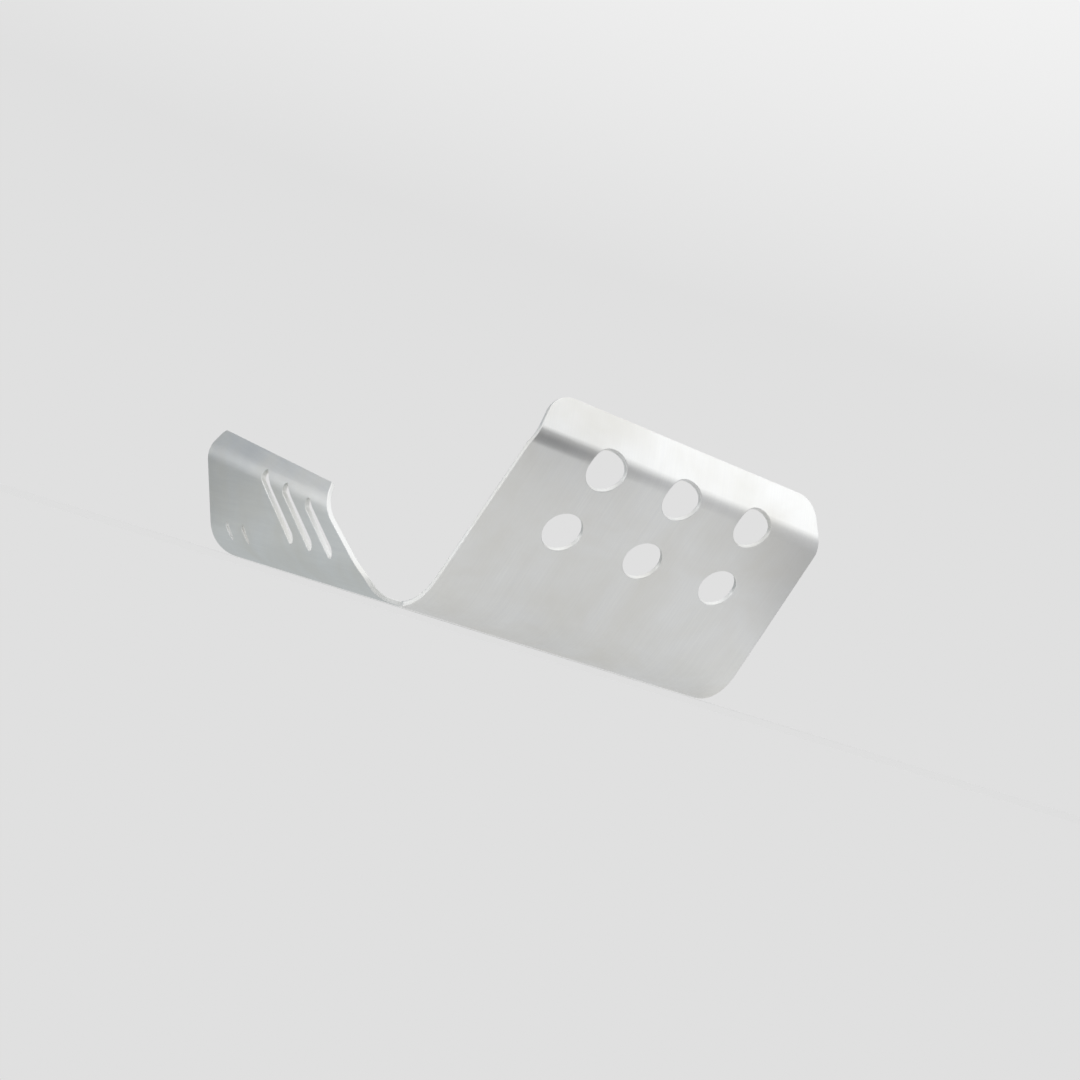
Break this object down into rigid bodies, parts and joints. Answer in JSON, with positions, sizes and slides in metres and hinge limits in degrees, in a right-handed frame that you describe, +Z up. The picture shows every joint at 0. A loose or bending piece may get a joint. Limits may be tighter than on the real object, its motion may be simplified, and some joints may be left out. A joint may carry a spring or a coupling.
{
  "type": "engine guard",
  "caption": "Folded sheet-metal engine guard for a motorbike: flat floor, forward-leaning front plate with round holes, slotted side wings, bolted up under the engine.",
  "frame": {"origin": "centre of the four floor bolts, on the floor's underside", "axes": "+X to the bike's left, +Y to the rear, +Z up, square to the floor"},
  "size_m": [0.2894, 0.4299, 0.1416],
  "materials": {
    "sheet": "satin, faintly grained, bare"
  },
  "bodies": {
    "root": {"guard_sheet": "sheet"}
  },
  "joints": []
}
